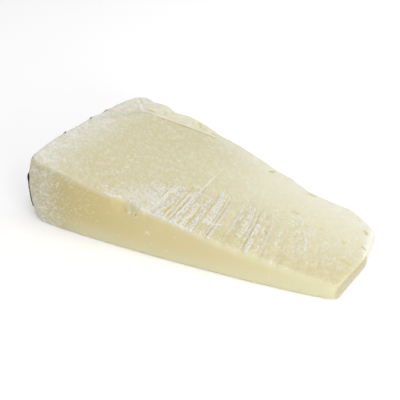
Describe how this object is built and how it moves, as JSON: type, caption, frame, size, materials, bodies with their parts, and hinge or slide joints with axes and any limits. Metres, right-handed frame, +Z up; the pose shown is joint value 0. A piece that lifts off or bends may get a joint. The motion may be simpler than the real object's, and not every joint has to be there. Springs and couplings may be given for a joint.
{
  "type": "romano cheese wedge",
  "caption": "Thin hand-cut wedge of hard grating cheese that lies on a cut face, thick at the dark-coated rind and tapering to a broken tip.",
  "frame": {"origin": "middle of the wedge's bounding box, on the surface it lies on", "axes": "+X from the rind to the broken tip, +Y from the front cut to the back cut, +Z up"},
  "size_m": [0.1506, 0.0884, 0.0339],
  "materials": {
    "cheese_paste": "matt, slightly waxy crumbly paste, paler and drier near the rind",
    "rind_coating": "matt charcoal coating, thin and worn through at its edges"
  },
  "bodies": {
    "root": {"cheese_wedge": "cheese_paste"}
  },
  "joints": []
}
